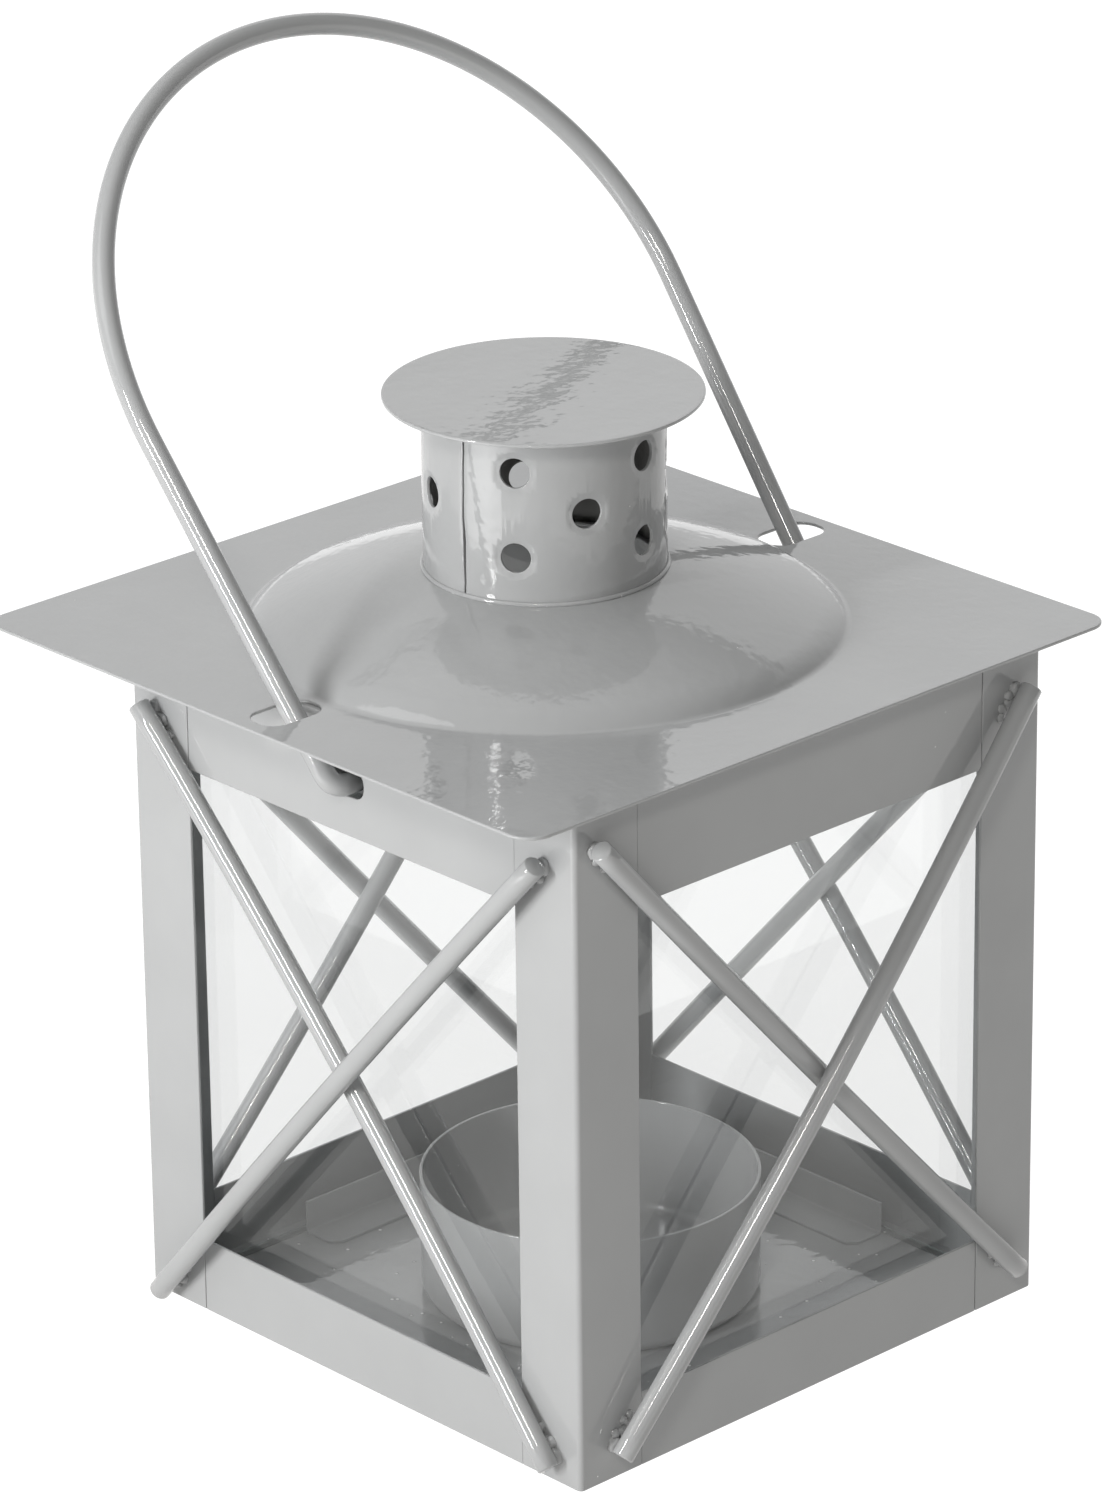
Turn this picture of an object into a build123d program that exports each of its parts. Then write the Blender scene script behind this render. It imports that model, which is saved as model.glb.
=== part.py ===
from build123d import *

# A square tealight lantern of thin painted sheet: a glazed body with wire braces, a loose domed lid
# with a punched chimney, and a wire bail that hangs in two holes of the body and passes through the lid.
# Millimetres, +Z up. The origin is the centre of the underside. -Y is the front and -X the left side.
import os
from math import asin, cos, degrees, hypot, radians, sin, sqrt, tan

# Sheet and wire stock
sheet = 0.5
fold_radius = 0.8
brace_diameter = 3.3
bail_diameter = 3.4

# Body frame
body_side = 95.0
body_height = 106.3
post_leg = 12.3
top_rail_height = 17.4
bottom_rail_height = 11.8
rail_seam = 0.15
floor_corner_radius = 2.0

# Glass panes, standing on the floor behind the rails
pane_thickness = 1.8
pane_setback = 2.2
pane_corner_gap = 1.0
pane_rise = 5.1
pane_play = 0.3

# Folded channel of the top rails, which holds the upper edge of each pane
channel_lap = 3.0

# Clips that hold the lower edge of each pane
clip_length = 40.0
clip_height = 5.5
clip_foot = 6.7
clip_corner_chamfer = 1.6

# Tealight cup
cup_diameter = 52.0
cup_height = 19.2
cup_corner_radius = 2.0

# Crossed wire braces, two on each side of the body. They are cut and welded by hand, so each one has its
# own ends: inset from the corner and drop from the top edge, then inset from the corner and rise from the base.
under_brace_ends = {
    "left": ((4.2, 8.6), (4.2, 3.2)),
    "front": ((2.9, 5.5), (5.3, 5.5)),
    "right": ((4.7, 8.0), (4.7, 3.8)),
    "back": ((4.7, 9.3), (4.7, 3.1)),
}
over_brace_ends = {
    "left": ((5.2, 8.5), (4.6, 1.4)),
    "front": ((4.6, 5.7), (5.8, 4.6)),
    "right": ((4.7, 9.6), (4.7, 1.6)),
    "back": ((4.7, 6.5), (4.7, 2.4)),
}
under_brace_end_gap = 0.75
over_brace_end_gap = 0.95
under_brace_bow = 1.5
brace_crossing_gap = 0.05

# Lid: a flat square plate with a pressed dome and a slot for each leg of the bail
lid_overhang = 11.8
lid_corner_radius = 4.0
dome_height = 11.35
dome_crown_edge_rise = 0.84
dome_shoulder_radius = 10.0
dome_foot_fillet = 1.5
dome_margin = 2.1
slot_length = 11.0
slot_width = 6.6
slot_outward_shift = 0.8
slot_end_flat = 0.8

# Chimney: a rolled collar, open at its seam, with a flat cap
collar_diameter = 36.2
collar_height = 26.3
collar_seam_gap = 0.4
collar_seam_angle = -173.8
vent_ledge = 1.1
hole_diameter = 4.6
hole_columns = 10
hole_column_margin_angle = 26.7
hole_foot_margin = 7.1
hole_top_margin = 6.1
cap_overhang = 5.7

# Bail
bail_lean = 38.3
bail_hinge_drop = 9.3
bail_side_gap = 1.0
bail_spread = 2.35
bail_arch_rise = 59.1
bail_bend_radius = 2.4
bail_pin_gap = 0.8
bail_hole_length = 7.2
bail_hole_height = 4.4
bail_hole_end_flat = 0.6
bail_hole_seat_gap = 0.15

# How far the lid slides for each radian that the bail swings
lid_travel_per_radian = 12.4

# Places that follow from the sizes above
body_half = body_side / 2
window_half = body_half - post_leg
pane_front = body_half - pane_setback
pane_back = pane_front - pane_thickness
holder_face = pane_back - pane_play
window_top = body_height - top_rail_height
pane_top = window_top + pane_rise
hinge_height = body_height - bail_hinge_drop
hinge_half = body_half + bail_side_gap + bail_diameter / 2
arch_radius = hinge_half + bail_spread

# The lid has slid towards the side that the bail leans to
lid_shift = lid_travel_per_radian * radians(bail_lean)
hinge_to_arch = hypot(hinge_half, bail_arch_rise)
leg_angle = asin(arch_radius / hinge_to_arch) - asin(hinge_half / hinge_to_arch)
leg_half_at_lid = hinge_half + (bail_hinge_drop / cos(radians(bail_lean))) * tan(leg_angle)
slot_centre = leg_half_at_lid + slot_outward_shift
dome_foot_radius = body_half - dome_margin
collar_radius = collar_diameter / 2
collar_bore_radius = collar_radius - sheet
crown_fall = dome_height - sheet - dome_crown_edge_rise
dome_crown_radius = (dome_foot_radius**2 + crown_fall**2) / (2 * crown_fall)
dome_crown_centre = dome_height - dome_crown_radius


def crown_height(radius):
    """Height of the dome's upper surface above the underside of the lid plate, at a radius."""
    return dome_crown_centre + sqrt(dome_crown_radius**2 - radius**2)


collar_foot = crown_height(collar_bore_radius)
lid_axis = Axis((0, lid_shift, 0), (0, 0, 1))
lid_section = Plane(origin=(0, lid_shift, body_height), x_dir=(1, 0, 0), z_dir=(0, -1, 0))


def keep(piece, name):
    """Labels a finished piece and writes it to its own file."""
    piece.part.label = name
    export_step(piece.part, f"parts/{name}.step")


os.makedirs("parts", exist_ok=True)

# The four sides. Each has the direction that it faces, the end of its rails that shows an open seam
# (-1 is the left end and +1 the right end, seen from outside), and the post at its right end.
sides = {
    "left": (Vector(-1, 0, 0), -1, "front_left"),
    "front": (Vector(0, -1, 0), 1, "front_right"),
    "right": (Vector(1, 0, 0), 1, "back_right"),
    "back": (Vector(0, 1, 0), -1, "back_left"),
}

for side, (outward, open_end, post_name) in sides.items():
    up = Vector(0, 0, 1)
    along = up.cross(outward)
    side_plane = Plane(origin=(0, 0, 0), x_dir=along, z_dir=outward)
    plan = Plane(origin=(0, 0, 0), x_dir=along, z_dir=up)

    # Rails butt against the posts. The seam at one end of each is left a little open.
    rail_left = -window_half + (rail_seam if open_end < 0 else 0)
    rail_right = window_half - (rail_seam if open_end > 0 else 0)
    rail_section = Plane(origin=along * rail_right, x_dir=outward, z_dir=outward.cross(up))
    rail_length = rail_right - rail_left

    # Corner post: one sheet folded along the corner
    with BuildPart() as post:
        with BuildSketch(plan):
            with BuildLine():
                FilletPolyline(
                    (body_half, -body_half + post_leg),
                    (body_half, -body_half),
                    (body_half - post_leg, -body_half),
                    radius=fold_radius,
                )
                offset(amount=-sheet, side=Side.RIGHT)
            make_face()
        extrude(amount=body_height)
    keep(post, f"corner_post_{post_name}")

    # Top rail: a web, a flange that the lid rests on, and a lip that holds the pane
    with BuildPart() as top_rail:
        with BuildSketch(rail_section):
            with BuildLine():
                FilletPolyline(
                    (body_half, window_top),
                    (body_half, body_height),
                    (holder_face - sheet, body_height),
                    (holder_face - sheet, pane_top - channel_lap),
                    radius=fold_radius,
                )
                offset(amount=-sheet, side=Side.LEFT)
            make_face()
        extrude(amount=rail_length)
        if side in ("left", "right"):
            hole_bottom = hinge_height - bail_diameter / 2 - bail_hole_seat_gap
            bail_hole_end_radius = (bail_hole_height - bail_hole_end_flat) / 2
            with BuildSketch(side_plane.offset(body_half)):
                with Locations((0, hole_bottom + bail_hole_height / 2)):
                    RectangleRounded(bail_hole_length, bail_hole_height, bail_hole_end_radius)
            extrude(amount=-(sheet + pane_setback) / 2, mode=Mode.SUBTRACT)
    keep(top_rail, f"top_rail_{side}")

    # Bottom rail: a plain strip round the floor
    with BuildPart() as bottom_rail:
        with BuildSketch(side_plane.offset(body_half - sheet)):
            with Locations(((rail_left + rail_right) / 2, bottom_rail_height / 2)):
                Rectangle(rail_length, bottom_rail_height)
        extrude(amount=sheet)
    keep(bottom_rail, f"bottom_rail_{side}")

    # Glass pane, standing on the floor
    with BuildPart() as pane:
        with BuildSketch(side_plane.offset(pane_back)):
            with Locations((0, (sheet + pane_top) / 2)):
                Rectangle(2 * (pane_back - pane_corner_gap), pane_top - sheet)
        extrude(amount=pane_thickness)
    keep(pane, f"glass_pane_{side}")

    # Clip: an angle whose foot lies on the floor and whose upright stands behind the pane
    with BuildPart() as clip:
        clip_section = Plane(origin=along * (clip_length / 2), x_dir=outward, z_dir=outward.cross(up))
        with BuildSketch(clip_section):
            with BuildLine():
                FilletPolyline(
                    (holder_face, sheet + clip_height),
                    (holder_face, sheet),
                    (holder_face - clip_foot, sheet),
                    radius=fold_radius,
                )
                offset(amount=-sheet, side=Side.RIGHT)
            make_face()
        extrude(amount=clip_length)
        foot_corners = clip.edges().filter_by(Axis.Z).sort_by(SortBy.DISTANCE)[:2]
        chamfer(foot_corners, length=clip_corner_chamfer)
    keep(clip, f"glass_clip_{side}")

    # Under brace: from the left post's top to the right post's foot, bowed a little inwards
    under_end = body_half + brace_diameter / 2 + under_brace_end_gap
    under_middle = under_end - under_brace_bow
    (top_inset, top_drop), (foot_inset, foot_rise) = under_brace_ends[side]
    with BuildPart() as under_brace:
        with BuildLine(side_plane) as under_path:
            ThreePointArc(
                (top_inset - body_half, body_height - top_drop, under_end),
                ((top_inset - foot_inset) / 2, (body_height - top_drop + foot_rise) / 2, under_middle),
                (body_half - foot_inset, foot_rise, under_end),
            )
        with BuildSketch(under_path.line ^ 0):
            Circle(brace_diameter / 2)
        sweep(path=under_path.line)
    keep(under_brace, f"brace_under_{side}")

    # Over brace: the other diagonal, bowed outwards to pass over the first
    over_end = body_half + brace_diameter / 2 + over_brace_end_gap
    over_middle = under_middle + brace_diameter + brace_crossing_gap
    (top_inset, top_drop), (foot_inset, foot_rise) = over_brace_ends[side]
    with BuildPart() as over_brace:
        with BuildLine(side_plane) as over_path:
            ThreePointArc(
                (body_half - top_inset, body_height - top_drop, over_end),
                ((foot_inset - top_inset) / 2, (body_height - top_drop + foot_rise) / 2, over_middle),
                (foot_inset - body_half, foot_rise, over_end),
            )
        with BuildSketch(over_path.line ^ 0):
            Circle(brace_diameter / 2)
        sweep(path=over_path.line)
    keep(over_brace, f"brace_over_{side}")

# Floor plate, inside the rails and posts
with BuildPart() as floor_plate:
    with BuildSketch():
        RectangleRounded(body_side - 2 * sheet, body_side - 2 * sheet, floor_corner_radius)
    extrude(amount=sheet)
keep(floor_plate, "floor_plate")

# Tealight cup: drawn from one sheet, standing on the middle of the floor
with BuildPart() as tealight_cup:
    with BuildSketch(Plane.XZ):
        with BuildLine():
            FilletPolyline(
                (0, sheet),
                (cup_diameter / 2, sheet),
                (cup_diameter / 2, sheet + cup_height),
                radius=cup_corner_radius,
            )
            offset(amount=-sheet, side=Side.LEFT)
        make_face()
    revolve(axis=Axis.Z)
keep(tealight_cup, "tealight_cup")


def circles_meet(first_height, first_radius, second_place, second_height, second_radius):
    """The crossing nearer the axis, of a circle centred on the axis and a circle beside it."""
    rise = second_height - first_height
    span = hypot(second_place, rise)
    reach = (first_radius**2 - second_radius**2 + span**2) / (2 * span)
    aside = sqrt(first_radius**2 - reach**2)
    return (
        (reach * second_place - aside * rise) / span,
        first_height + (reach * rise + aside * second_place) / span,
    )


# Lid plate. The dome's upper line is three tangent arcs: crown, shoulder and foot fillet.
fillet_centre = Vector(dome_foot_radius, sheet + dome_foot_fillet)
shoulder_centre = Vector(
    circles_meet(
        dome_crown_centre,
        dome_crown_radius - dome_shoulder_radius,
        fillet_centre.X,
        fillet_centre.Y,
        dome_shoulder_radius + dome_foot_fillet,
    )
)
crown_centre = Vector(0, dome_crown_centre)
vent_radius = collar_bore_radius - vent_ledge


def arc_end(centre, towards, radius):
    """The point on a circle round centre, in the direction of another point."""
    return centre + (towards - centre).normalized() * radius


def arc_between(centre, radius, start, end):
    """An arc round centre from start to end, the shorter way."""
    middle = arc_end(centre, (start + end) / 2, radius)
    return ThreePointArc(start, middle, end)


def dome_line(depth):
    """Draws the dome's line at a depth below its upper surface, from the vent to the foot."""
    crown_radius = dome_crown_radius - depth
    shoulder_radius = dome_shoulder_radius - depth
    foot_radius = dome_foot_fillet + depth
    vent_edge = crown_centre + Vector(vent_radius, sqrt(crown_radius**2 - vent_radius**2))
    crown_end = arc_end(crown_centre, shoulder_centre, crown_radius)
    shoulder_end = arc_end(shoulder_centre, fillet_centre, shoulder_radius)
    foot = fillet_centre - Vector(0, foot_radius)
    arc_between(crown_centre, crown_radius, vent_edge, crown_end)
    arc_between(shoulder_centre, shoulder_radius, crown_end, shoulder_end)
    arc_between(fillet_centre, foot_radius, shoulder_end, foot)
    return vent_edge, foot


lid_side = body_side + 2 * lid_overhang
with BuildPart() as roof_plate:
    with BuildSketch(Plane.XY.offset(body_height)):
        with Locations((0, lid_shift)):
            RectangleRounded(lid_side, lid_side, lid_corner_radius)
            Circle(dome_foot_radius, mode=Mode.SUBTRACT)
        with Locations((-slot_centre, lid_shift), (slot_centre, lid_shift)):
            RectangleRounded(slot_length, slot_width, (slot_width - slot_end_flat) / 2, mode=Mode.SUBTRACT)
    extrude(amount=sheet)
    with BuildSketch(lid_section):
        with BuildLine():
            upper_vent, upper_foot = dome_line(0)
            lower_vent, lower_foot = dome_line(sheet)
            Line(upper_vent, lower_vent)
            Line(upper_foot, lower_foot)
        make_face()
    revolve(axis=lid_axis)
keep(roof_plate, "roof_plate")

# Chimney collar: rolled sheet with an open butt seam, punched with alternate double and single columns
collar_middle = collar_radius - sheet / 2
hole_pitch_angle = (360 - 2 * hole_column_margin_angle) / (hole_columns - 1)
low_row = hole_foot_margin
high_row = collar_height - hole_top_margin
middle_row = (low_row + high_row) / 2
with BuildPart() as chimney_collar:
    collar_plane = Plane(origin=(0, lid_shift, body_height + collar_foot)).rotated((0, 0, collar_seam_angle))
    with BuildSketch(collar_plane):
        Circle(collar_radius)
        Circle(collar_bore_radius, mode=Mode.SUBTRACT)
        with Locations((collar_middle, 0)):
            Rectangle(2 * sheet, collar_seam_gap, mode=Mode.SUBTRACT)
    extrude(amount=collar_height)
    for column in range(hole_columns):
        column_angle = hole_column_margin_angle + column * hole_pitch_angle
        rows = (low_row, high_row) if column % 2 == 0 else (middle_row,)
        column_plane = Plane(collar_plane.location * Location((0, 0, 0), (0, 0, column_angle)))
        wall_plane = Plane(
            origin=column_plane.from_local_coords((collar_middle - sheet, 0, 0)),
            x_dir=column_plane.y_dir,
            z_dir=column_plane.x_dir,
        )
        with BuildSketch(wall_plane):
            with Locations([(0, row) for row in rows]):
                Circle(hole_diameter / 2)
        extrude(amount=2 * sheet, mode=Mode.SUBTRACT)
keep(chimney_collar, "chimney_collar")

# Chimney cap: a flat disc on the collar
with BuildPart() as chimney_cap:
    with BuildSketch(Plane.XY.offset(body_height + collar_foot + collar_height)):
        with Locations((0, lid_shift)):
            Circle(collar_radius + cap_overhang)
    extrude(amount=sheet)
keep(chimney_cap, "chimney_cap")

# Bail: one wire. Its legs are tangent to the arch, and its ends turn in through the holes of the rails.
bail_plane = Plane(
    origin=(0, 0, hinge_height),
    x_dir=(1, 0, 0),
    z_dir=(0, -cos(radians(bail_lean)), sin(radians(bail_lean))),
)
pin_end = holder_face + bail_pin_gap
tangent_half = arch_radius * cos(leg_angle)
tangent_rise = bail_arch_rise - arch_radius * sin(leg_angle)
with BuildPart() as wire_bail:
    with BuildLine(bail_plane) as bail_path:
        FilletPolyline((-pin_end, 0), (-hinge_half, 0), (-tangent_half, tangent_rise), radius=bail_bend_radius)
        ThreePointArc((-tangent_half, tangent_rise), (0, bail_arch_rise + arch_radius), (tangent_half, tangent_rise))
        FilletPolyline((tangent_half, tangent_rise), (hinge_half, 0), (pin_end, 0), radius=bail_bend_radius)
    bail_wire = bail_path.wire()
    with BuildSketch(bail_wire ^ 0):
        Circle(bail_diameter / 2)
    sweep(path=bail_wire)
keep(wire_bail, "wire_bail")

print(f"lid shift at rest {lid_shift:.3f}, slot centre {slot_centre:.3f}, collar foot {collar_foot:.3f}")
print(f"leg angle {degrees(leg_angle):.3f} degrees, hinge height {hinge_height:.2f}, pane top {pane_top:.2f}")
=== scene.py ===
"""Punched tin lantern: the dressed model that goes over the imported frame.

Sizes are in millimetres and follow the part's own source. A finished piece is scaled to metres, and it
sits in the same frame as the CAD: +Z up, the origin in the middle of the underside, -Y the front.
"""

import logging
from dataclasses import dataclass, field
from enum import Enum
from math import asin, atan2, cos, degrees, hypot, pi, radians, sin, sqrt, tan
from typing import Any, Callable, Iterable, Sequence

import bmesh
import bpy
from bmesh.types import BMEdge, BMFace, BMVert
from mathutils import Matrix, Vector, noise

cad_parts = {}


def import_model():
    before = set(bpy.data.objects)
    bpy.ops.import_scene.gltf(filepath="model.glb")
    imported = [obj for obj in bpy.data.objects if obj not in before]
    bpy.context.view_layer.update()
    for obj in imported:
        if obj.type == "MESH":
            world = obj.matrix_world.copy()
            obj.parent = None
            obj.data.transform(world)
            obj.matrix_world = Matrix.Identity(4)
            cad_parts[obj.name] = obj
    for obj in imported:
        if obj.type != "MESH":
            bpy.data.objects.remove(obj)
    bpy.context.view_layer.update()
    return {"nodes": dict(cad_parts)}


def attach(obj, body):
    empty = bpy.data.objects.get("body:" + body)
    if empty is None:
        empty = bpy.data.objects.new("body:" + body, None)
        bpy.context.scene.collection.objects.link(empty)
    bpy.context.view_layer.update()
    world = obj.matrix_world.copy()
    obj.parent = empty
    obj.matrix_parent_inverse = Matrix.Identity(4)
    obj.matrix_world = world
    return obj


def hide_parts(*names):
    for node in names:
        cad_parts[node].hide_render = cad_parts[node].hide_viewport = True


LOG = logging.getLogger("lantern")

MM = 0.001
UP = Vector((0.0, 0.0, 1.0))
X_AXIS = Vector((1.0, 0.0, 0.0))
FRONT = Vector((0.0, -1.0, 0.0))

# Sheet and wire stock
SHEET = 0.5
FOLD_RADIUS = 0.8
BRACE_DIAMETER = 3.3
BAIL_DIAMETER = 3.4

# Main sizes that several sub-assemblies share
BODY_HALF = 47.5
BODY_HEIGHT = 106.3
POST_LEG = 12.3
WINDOW_HALF = BODY_HALF - POST_LEG
HINGE_HEIGHT = 97.0
HOLDER_FACE = 43.2
LID_SHIFT = 8.289
COLLAR_RADIUS = 18.1
COLLAR_FOOT = 116.206
COLLAR_HEIGHT = 26.3


class Body(Enum):
    """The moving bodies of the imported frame."""

    HOUSING = "body"
    LID = "lid"
    BAIL = "bail"


class Slot(Enum):
    """The material slots of the record."""

    BODY_PAINT = "body_paint"
    LID_PAINT = "lid_paint"
    WIRE_PAINT = "wire_paint"
    GLASS = "pane_glass"


class Side(Enum):
    """The four sides of the body, with the turn that carries the front side to each of them."""

    FRONT = ("front", 0.0)
    RIGHT = ("right", 90.0)
    BACK = ("back", 180.0)
    LEFT = ("left", -90.0)

    @property
    def label(self) -> str:
        """The side's name in the frame."""
        return self.value[0]

    @property
    def turn(self) -> Matrix:
        """The turn about the upright axis that carries the front side to this one."""
        return Matrix.Rotation(radians(self.value[1]), 4, "Z")

    @property
    def seam_end(self) -> int:
        """The end of the side's rails that shows an open seam: -1 is the left one, seen from outside."""
        return 1 if self in (Side.FRONT, Side.RIGHT) else -1

    @property
    def post_name(self) -> str:
        """The corner post at the side's right end, seen from outside.

        Returns:
            The post's name in the frame.
        """
        return {
            Side.LEFT: "corner_post_front_left",
            Side.FRONT: "corner_post_front_right",
            Side.RIGHT: "corner_post_back_right",
            Side.BACK: "corner_post_back_left",
        }[self]


class Signal:
    """A number on its way through a shader, which Python's operators can work on."""

    def __init__(self, bench: "NodeBench", socket: bpy.types.NodeSocket) -> None:
        """Wraps one socket.

        Args:
            bench: The bench whose node tree holds the socket.
            socket: The output that carries the number.
        """
        self.bench = bench
        self.socket = socket

    def _maths(self, operation: str, first: Any, second: Any = None) -> "Signal":
        """Adds one Math node.

        Args:
            operation: The Math node's operation.
            first: Its first number or signal.
            second: Its second number or signal, where it takes one.

        Returns:
            The node's result.
        """
        values = {0: first} if second is None else {0: first, 1: second}
        made = self.bench.node("ShaderNodeMath", {"operation": operation}, values)
        return Signal(self.bench, made.outputs[0])

    def __add__(self, other: Any) -> "Signal":
        """This number plus another."""
        return self._maths("ADD", self, other)

    def __radd__(self, other: Any) -> "Signal":
        """Another number plus this one."""
        return self._maths("ADD", other, self)

    def __sub__(self, other: Any) -> "Signal":
        """This number less another."""
        return self._maths("SUBTRACT", self, other)

    def __rsub__(self, other: Any) -> "Signal":
        """Another number less this one."""
        return self._maths("SUBTRACT", other, self)

    def __mul__(self, other: Any) -> "Signal":
        """This number times another."""
        return self._maths("MULTIPLY", self, other)

    def __rmul__(self, other: Any) -> "Signal":
        """Another number times this one."""
        return self._maths("MULTIPLY", other, self)

    def __pow__(self, power: float) -> "Signal":
        """This number raised to a power."""
        return self._maths("POWER", self, power)

    def clipped(self) -> "Signal":
        """This number held between 0 and 1."""
        return self._maths("MINIMUM", self._maths("MAXIMUM", self, 0.0), 1.0)


class NodeBench:
    """Builds one node tree."""

    def __init__(self, tree: bpy.types.NodeTree) -> None:
        """Empties a tree and starts on it.

        Args:
            tree: The node tree of a material or a world.
        """
        self.tree = tree
        tree.nodes.clear()

    def node(
        self, kind: str, settings: dict[str, Any] | None = None, values: dict[Any, Any] | None = None
    ) -> bpy.types.Node:
        """Adds a node of any type.

        Args:
            kind: The node's type.
            settings: Its own settings, which are set first. "stops" fills a ramp.
            values: A number, colour, socket or signal for each input, by name or place.

        Returns:
            The new node.
        """
        made = self.tree.nodes.new(kind)
        for name, value in (settings or {}).items():
            if name == "stops":
                self._fill_ramp(made.color_ramp, value)
            else:
                setattr(made, name, value)
        for key, value in (values or {}).items():
            if isinstance(value, Signal):
                value = value.socket
            if isinstance(value, bpy.types.NodeSocket):
                self.tree.links.new(value, made.inputs[key])
            else:
                made.inputs[key].default_value = value
        return made

    @staticmethod
    def _fill_ramp(ramp: bpy.types.ColorRamp, stops: Sequence[tuple[float, tuple[float, ...]]]) -> None:
        """Sets a ramp's stops.

        Args:
            ramp: The ramp, which starts with two stops.
            stops: The place and colour of each stop, from the lowest.
        """
        while len(ramp.elements) < len(stops):
            ramp.elements.new(1.0)
        for element, (place, colour) in zip(ramp.elements, stops):
            element.position = place
            element.color = colour

    def noise(self, coords: bpy.types.NodeSocket, size: float, detail: float, seed: Vector) -> Signal:
        """Adds a noise pattern.

        Args:
            coords: Object coordinates.
            size: The size of its grains in metres.
            detail: How many finer layers it has.
            seed: Where in the pattern the piece starts.

        Returns:
            The noise, from 0 to 1.
        """
        moved = self.node("ShaderNodeMapping", {}, {"Vector": coords, "Location": seed})
        values = {"Vector": moved.outputs[0], "Scale": 1.0 / size, "Detail": detail}
        return Signal(self, self.node("ShaderNodeTexNoise", {}, values).outputs[0])


@dataclass(frozen=True)
class Paint:
    """Glossy enamel on sheet or wire, with orange peel, uneven thickness and a few specks of dust."""

    name: str
    colour: tuple[float, float, float] = (0.383, 0.389, 0.392)
    roughness: float = 0.05
    tone_change: float = 0.030
    tone_size: float = 0.018
    peel_depth: float = 0.000018
    peel_size: float = 0.0019
    wave_depth: float = 0.00006
    wave_size: float = 0.026
    speck_share: float = 0.020
    speck_spacing: float = 0.0021
    speck_radius: float = 0.07
    speck_colour: tuple[float, float, float, float] = (0.95, 0.95, 0.95, 1.0)
    gloss_change: float = 0.04

    def tinted(self, change: float) -> tuple[float, float, float, float]:
        """The colour made lighter or darker.

        Args:
            change: The share to add.

        Returns:
            The colour with its alpha.
        """
        return (*[part * (1.0 + change) for part in self.colour], 1.0)

    def material(self) -> bpy.types.Material:
        """Makes the finish's material.

        Returns:
            The material.
        """
        made = bpy.data.materials.new(self.name)
        made.use_nodes = True
        bench = NodeBench(made.node_tree)
        coords = bench.node("ShaderNodeTexCoord").outputs["Object"]
        tone = bench.noise(coords, self.tone_size, 3.0, Vector((0.11, 0.37, 0.05)))
        ramp = {"stops": [(0.3, self.tinted(-self.tone_change)), (0.7, self.tinted(self.tone_change))]}
        base = bench.node("ShaderNodeValToRGB", ramp, {"Fac": tone}).outputs[0]
        specks = self._specks(bench, coords)
        colour = bench.node(
            "ShaderNodeMix", {"data_type": "RGBA"}, {0: specks, 6: base, 7: self.speck_colour}
        )
        peel = bench.noise(coords, self.peel_size, 1.5, Vector((0.29, 0.07, 0.51)))
        waves = bench.noise(coords, self.wave_size, 1.0, Vector((0.63, 0.41, 0.17)))
        height = peel * self.peel_depth + waves * self.wave_depth + specks * (2.0 * self.peel_depth)
        bump = bench.node("ShaderNodeBump", {}, {"Strength": 1.0, "Distance": 1.0, "Height": height})
        surface = bench.node(
            "ShaderNodeBsdfPrincipled",
            {},
            {
                "Base Color": colour.outputs[2],
                "Roughness": (tone - 0.5) * self.gloss_change + self.roughness,
                "IOR": 1.52,
                "Normal": bump.outputs[0],
            },
        )
        bench.node("ShaderNodeOutputMaterial", {}, {"Surface": surface.outputs[0]})
        return made

    def _specks(self, bench: NodeBench, coords: bpy.types.NodeSocket) -> Signal:
        """Dust caught in the paint.

        Args:
            bench: The material's bench.
            coords: Object coordinates.

        Returns:
            A mask that is 1 in a speck.
        """
        cells = bench.node("ShaderNodeTexVoronoi", {}, {"Vector": coords, "Scale": 1.0 / self.speck_spacing})
        parts = bench.node("ShaderNodeSeparateColor", {}, {0: cells.outputs["Color"]})
        chance = Signal(bench, parts.outputs[0])
        all_or_none, speck_edge = 400.0, 30.0
        chosen = ((chance - (1.0 - self.speck_share)) * all_or_none).clipped()
        near = ((self.speck_radius - Signal(bench, cells.outputs["Distance"])) * speck_edge).clipped()
        return chosen * near


@dataclass(frozen=True)
class PaneGlass:
    """Clear float glass, which lets light straight through and mirrors more at a shallow angle."""

    name: str
    tint: tuple[float, float, float] = (0.982, 0.985, 0.986)
    straight_on: float = 0.055

    def material(self) -> bpy.types.Material:
        """Makes the material of a pane's two faces.

        Returns:
            The material.
        """
        made = bpy.data.materials.new(self.name)
        made.use_nodes = True
        bench = NodeBench(made.node_tree)
        facing = Signal(bench, bench.node("ShaderNodeLayerWeight", {}, {"Blend": 0.5}).outputs["Facing"])
        gloss = facing**5.0 * (1.0 - self.straight_on) + self.straight_on
        clear = bench.node("ShaderNodeBsdfTransparent", {}, {"Color": (*self.tint, 1.0)})
        mirror = bench.node(
            "ShaderNodeBsdfPrincipled",
            {},
            {"Base Color": (0.95, 0.96, 0.96, 1.0), "Metallic": 1.0, "Roughness": 0.0},
        )
        both = bench.node(
            "ShaderNodeMixShader", {}, {0: gloss, 1: clear.outputs[0], 2: mirror.outputs[0]}
        )
        bench.node("ShaderNodeOutputMaterial", {}, {"Surface": both.outputs[0]})
        return made


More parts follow.
